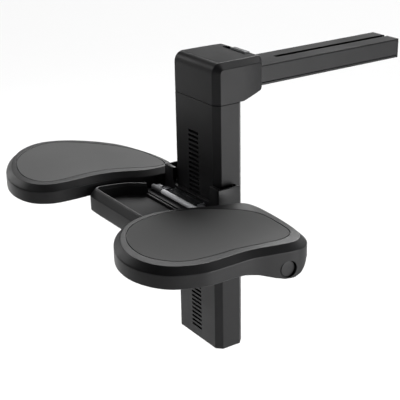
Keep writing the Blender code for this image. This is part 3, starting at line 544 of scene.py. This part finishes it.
def make_head():
    chamfer = [(38, 0), (HALF_X - CHAMFER, 0), (HALF_X, CHAMFER), (HALF_X, CHAMFER + 2)]
    side = rounded(chamfer, (1.6, 1.4), 5, 0.4)
    sections = [(-x, depth) for x, depth in reversed(side)] + [(x, depth) for x, depth in side]
    shape = bmesh.new()
    capped_skin(shape, [[(x, y, z) for y, z in head_section(depth)] for x, depth in sections])
    for y in range(15, 58, 2):
        every = shape.verts[:] + shape.edges[:] + shape.faces[:]
        bmesh.ops.bisect_plane(shape, geom=every, plane_co=(0, y, 0), plane_no=(0, 1, 0))
    for vert in shape.verts:
        vert.co.x *= head_width(vert.co.y) / HALF_X
    shell = to_object("head_shell_fine", shape)
    recess = rounded_loop([(-25.5, 41), (25.5, 41), (25.5, 50.5), (-25.5, 50.5)], [3.4] * 4, 5, 0.3)
    cutter = bmesh.new()
    capped_skin(cutter, [[(x, y, z) for x, y in recess] for z in (398.0, 410.0)])
    carve(shell, block("front_room", (-43, 43), (-18, 20), (346, 391)))
    carve(shell, block("rear_room", (-40, 40), (19, 54), (358.5, 396)))
    carve(shell, block("mouth", (-20.4, 20.4), (50, 70), TENON_ROOM))
    carve(shell, to_object("recess", cutter), block("stem_slot", (-9.5, 17), (44.5, 47.5), (390, 400)))
    piece(shell, "column", "body_plastic", BODY, "head_shell", angle=30)
    # The flat top gets a duller copy of the plastic that reads darker under the lights: painted shade.
    top = (HEAD_TOP - ARM_BOTTOM) / 1000 - 0.0004
    paint_shade(shell, TOP_SHADE_PLASTIC, lambda centre, normal: normal.z > 0.95 and centre.z > top)


# ---------------------------------------------------------------- arm

ARM_TOP, ARM_START, ARM_END = 382.7, 58.9, 313.4
ARM_HALF_WIDTH, RAIL_BOTTOM, SEAM = 26.0, ARM_BOTTOM + 4.0, 0.9
ARM_SLOT_START, ARM_SLOT_HALF_WIDTH = 110.0, 4.1
END_CAP_LENGTH = 4


def make_arm():
    half, groove = ARM_HALF_WIDTH, ARM_TOP - 1.6
    side = [(half, RAIL_BOTTOM), (half, groove - 0.5), (half - SEAM, groove), (half, groove + 0.5),
            (half, ARM_TOP)]
    corners = side + [(-x, z) for x, z in reversed(side)]
    section = rounded_loop(corners, [0.4, 0.12, 0.1, 0.12, 0.7, 0.7, 0.12, 0.1, 0.12, 0.4], 3, 0.05)
    rail = arm_length("arm_rail_fine", section)
    carve(rail, block("chamber", (-22.5, 22.5), (ARM_START - 1, ARM_END + 1), TENON_ROOM))
    carve(rail, arm_slot())
    drill_arm(rail, (("screw_hole", 361, 2.2, 12.0),))
    piece(rail, "arm", "arm_plastic", ARM_LIT_PLASTIC, "arm_rail", angle=30)
    # The flat top gets a duller copy of the plastic that reads darker under the lights, and the slot and the
    # room below it a near-black one: both are painted shade.
    top = (ARM_TOP - ARM_BOTTOM) / 1000 - 0.0002
    paint_shade(rail, TOP_SHADE_PLASTIC, lambda centre, normal: normal.z > 0.9 and centre.z > top)
    paint_shade(rail, SHADE, lambda centre, normal: abs(centre.x) < 0.0228 and 0.004 < centre.z < top)

    cover_top = RAIL_BOTTOM - SEAM
    corners = [(-half, ARM_BOTTOM), (half, ARM_BOTTOM), (half, cover_top), (-half, cover_top)]
    cover = arm_length("arm_cover_fine", rounded_loop(corners, (1.0, 1.0, 0.35, 0.35), 4, 0.2))
    drill_arm(cover, (("screw_hole", 361, 2.2, 12.0), ("head_hole", ARM_BOTTOM, 4.0, 2.2)))
    piece(cover, "arm", "arm_plastic", ARM_LIT_PLASTIC, "arm_underside_cover", angle=30)
    soften("arm_end_cap", "arm", "arm_plastic", ARM_LIT_PLASTIC, 0.4)


def arm_length(name, section):
    """A section drawn along the arm, from the head to the end cap."""
    shape = bmesh.new()
    capped_skin(shape, [[(x, y, z) for x, z in section] for y in (ARM_START, ARM_END - END_CAP_LENGTH)])
    return to_object(name, shape)


def arm_slot():
    half, start, end = ARM_SLOT_HALF_WIDTH, ARM_SLOT_START, ARM_END + 5
    corners = [(-half, start), (half, start), (half, end), (-half, end)]
    slot = rounded_loop(corners, (1.2, 1.2, 0.1, 0.1), 6, 0.05)
    cutter = bmesh.new()
    capped_skin(cutter, [[(x, y, z) for x, y in slot] for z in (376.0, 392.0)])
    return to_object("slot", cutter)


def drill_arm(thing, holes):
    """Cuts holes of (name, height, radius, half length) for each of the two screws."""
    for x in (-12, 12):
        for name, height, radius, half_length in holes:
            carve(thing, round_hole(name, "Z", (x, 70, height), radius, half_length))


# ---------------------------------------------------------------- tray

TRAY_TOP, TRAY_FLOOR, TRAY_BOTTOM, TRAY_REAR = 223.0, 205.0, 190.0, -62.2
TRAY_OUTLINE = [
    (-66, -62), (-79, -78), (-86, -96), (-90, -114), (-90.8, -122), (-86, -130), (-76, -132), (-20, -132),
    (30, -132), (41, -130), (46, -121), (46, -104), (51, -86), (58, -70), (62, -58),
]


def tray_line():
    """The tray's left, front and right sides, drawn on past its rear, where it is trimmed."""
    control = np.array([(-52, -46), (-58, -53)] + TRAY_OUTLINE + [(63, -48)], float)
    dense = []
    for index in range(1, len(control) - 2):
        p0, p1, p2, p3 = control[index - 1:index + 3]
        for t in np.linspace(0, 1, 10, endpoint=False):
            square = (2 * p0 - 5 * p1 + 4 * p2 - p3) * t ** 2
            cube = (3 * p1 - p0 - 3 * p2 + p3) * t ** 3
            dense.append(0.5 * (2 * p1 + (p2 - p0) * t + square + cube))
    return np.array([(-38, -33)] + dense + [(62.5, -53), (63, -30)])


def lean_out(ring, height):
    """The tray's front wall stands a little proud of its rim, over a bevel."""
    reach = 3.2 * np.clip((TRAY_TOP - 1.5 - height) / 8.0, 0, 1) * np.clip((-104 - ring[:, 1]) / 24, 0, 1)
    return np.stack([ring[:, 0], ring[:, 1] - reach], axis=1)


def make_tray():
    outer = even(tray_line(), 420)
    shape = bmesh.new()
    profile = rounded([(9, 196), (6.5, TRAY_BOTTOM), (3.5, TRAY_BOTTOM), (0, TRAY_BOTTOM + 4), (0, 214),
                       (3.2, TRAY_TOP - 1.4), (4.8, TRAY_TOP), (6.6, TRAY_TOP), (8.8, TRAY_TOP - 4),
                       (9.0, TRAY_FLOOR), (11.5, TRAY_FLOOR)],
                      (1.0, 2.0, 3.0, 2.0, 1.2, 0.9, 0.8, 1.2, 1.6), 4, 0.2)
    capped_skin(shape, [at_height(lean_out(shrink(outer, depth), height), height)
                        for depth, height in profile])
    thing = to_object("tray_fine", shape)
    carve(thing, block("trim", (-120, 120), (TRAY_REAR, 0), (150, 300)))
    rear_wall = block("rear_wall_fine", (-57, 52), (TRAY_REAR - 2.4, TRAY_REAR), (TRAY_BOTTOM + 3, 210))
    carve(thing, rear_wall, operation="UNION")
    piece(thing, "carriage", "body_plastic", BODY, "tray", angle=34)


# ---------------------------------------------------------------- carriage, release bar and lock button

def make_small_parts():
    for node, width in (("carriage_front", 0.7), ("carriage_rear_plate", 0.5), ("cheek_left", 0.45),
                        ("cheek_right", 0.45), ("hinge_beam", 0.5)):
        soften(node, "carriage", "body_plastic", BODY, width)
    soften("tray_liner", "carriage", "mat_rubber", LINER, 0.3)
    soften("release_grip", "release", "body_plastic", GRIP, 0.25, 2)
    soften("bar_clips_left", "release", "light_plastic", CLIP, 0.4)
    soften("bar_clips_right", "release", "light_plastic", CLIP, 0.4)
    soften("slide_button", "button", "light_plastic", BUTTON, 0.35)
    for name in sorted(frame["nodes"]):
        if "_screw" in name:
            body = frame["nodes"][name]["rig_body"]
            soften(name, body, "dark_steel", BLACK_STEEL, 0.25, 2)
    bar = make_rod("release_bar_fine", -34.8, 60.0)
    # The bar's pale tone is painted sheen.
    piece(bar, "release", "bright_steel", BAR_PAINTED_SHEEN, "release_bar", angle=50)
    # A darker sleeve over the bar's left end: painted shade where the bar lies in shadow.
    piece(make_rod("release_bar_shaded_end", -60.0, -35.0), "release", "light_plastic", BAR_END_SHADE, angle=50)


def make_rod(name, left, right):
    """A length of the release bar, with rounded ends."""
    profile = [(left + 0.6, 2.4), (left, 2.9), (left + 0.8, 3.5), (right - 0.8, 3.5), (right, 2.9),
               (right - 0.6, 2.4)]
    profile = rounded(profile, (0.2, 0.5, 0.5, 0.2), 3, 0.05)
    return turned(name, 0, PIVOT_Y, BAR_Z, [tuple(point) for point in profile], 48)


# ---------------------------------------------------------------- stage

# In world metres. The floor lies well below the foot of the stand.
FLOOR_Z = -0.62
PALE, SHADE_GREY = (0.90,) * 3, (0.50,) * 3
MIDDLE = Vector((0.0, -0.2, -0.15))


def add_light(data, location, target):
    lamp = bpy.data.objects.new(data.name, data)
    lamp.location = location
    lamp.rotation_euler = (Vector(location) - Vector(target)).to_track_quat("Z", "Y").to_euler()
    bpy.context.scene.collection.objects.link(lamp)


def area_light(name, location, size, power):
    data = bpy.data.lights.new(name, "AREA")
    data.shape = "RECTANGLE"
    data.size, data.size_y = size
    data.energy = power
    add_light(data, location, MIDDLE)


def make_lights():
    sun = bpy.data.lights.new("back_light", "SUN")
    sun.energy = 5.0
    sun.angle = math.radians(40)
    add_light(sun, (-0.42, 0.60, 0.62), (0, 0, 0))
    spot = bpy.data.lights.new("bar_light", "SPOT")
    spot.energy = 38
    spot.spot_size = math.radians(9)
    spot.spot_blend = 1.0
    spot.shadow_soft_size = 0.12
    add_light(spot, (-0.25, -1.0, 0.75), (0.0, -0.225, -0.14))
    area_light("right_side", (2.1, 0.6, -0.1), (0.9, 0.9), 32)
    area_light("front_top", (-1.7, -1.0, 0.95), (0.5, 0.5), 6)
    area_light("left_strip", (-2.1, -0.6, 0.0), (0.2, 0.8), 3.5)


def how_far(tree, output, direction):
    """How far a point lies in a direction."""
    coordinates = tree.nodes.new("ShaderNodeTexCoord")
    node = tree.nodes.new("ShaderNodeVectorMath")
    node.operation = "DOT_PRODUCT"
    node.inputs[1].default_value = direction
    tree.links.new(coordinates.outputs[output], node.inputs[0])
    return node.outputs["Value"]


def make_world():
    """A studio that is bright round the back and the right, and dark overhead and at the front left."""
    world = bpy.data.worlds.new("studio")
    world.use_nodes = True
    tree = world.node_tree
    behind = spread(tree, how_far(tree, "Generated", (0.45, 0.89, 0.0)), 0.06, 1.0, -0.22, 0.28)
    low = spread(tree, how_far(tree, "Generated", (0.0, 0.0, 1.0)), 0.62, 0.16, 0.35, 0.75)
    both = tree.nodes.new("ShaderNodeMath")
    both.operation = "MULTIPLY"
    tree.links.new(behind, both.inputs[0])
    tree.links.new(low, both.inputs[1])
    tree.links.new(both.outputs["Value"], tree.nodes["Background"].inputs["Strength"])
    scene = bpy.context.scene
    scene.world = world
    scene.view_settings.view_transform = "Standard"
    scene.view_settings.look = "None"


def make_floor():
    """Pale paper that turns grey in front of the stand, as painted shade: the grey darkens the light thrown
    back onto the stand's front.
    """
    shape = bmesh.new()
    place = Matrix.Translation((0, 0, FLOOR_Z))
    bmesh.ops.create_grid(shape, x_segments=1, y_segments=1, size=8.0, matrix=place)
    floor = to_object("floor", shape)
    material, tree, shader = principled("floor_painted_shade", PALE, 0.9, specular=0.1)
    painted_falloff = spread(tree, how_far(tree, "Object", (-0.25, -0.97, 0.0)), 0.0, 1.0, 0.5, 2.0)
    tint(tree, shader, painted_falloff, PALE, SHADE_GREY, 0.0, 1.0)
    floor.data.materials.append(material)


def make_camera():
    azimuth, elevation, roll = (math.radians(v) for v in (56.199, 21.951, -1.068))
    flat = math.cos(elevation)
    back = Vector((math.sin(azimuth) * flat, -math.cos(azimuth) * flat, math.sin(elevation)))
    level = Vector((math.cos(azimuth), math.sin(azimuth), 0))
    up = back.cross(level)
    right = level * math.cos(roll) + up * math.sin(roll)
    top = up * math.cos(roll) - level * math.sin(roll)
    data = bpy.data.cameras.new("camera")
    data.sensor_width = 36.0
    data.lens = 92.376
    data.clip_start = 0.01
    camera = bpy.data.objects.new("camera", data)
    pose = Matrix((right, top, back)).transposed().to_4x4()
    pose.translation = Vector((1.0588, -0.9082, 0.3639))
    camera.matrix_world = pose
    bpy.context.scene.collection.objects.link(camera)
    bpy.context.scene.camera = camera


make_camera()
make_floor()
make_world()
make_lights()
for node, look in CAD_LOOKS.items():
    mesh = frame["nodes"][node].data
    mesh.materials.clear()
    mesh.materials.append(look)
make_rest("right", REST_RIGHT_WALL, MAT_RIGHT)
make_rest("left", REST_LEFT_WALL, MAT_LEFT)
make_hub_cap()
make_column()
make_head()
make_arm()
make_tray()
make_small_parts()
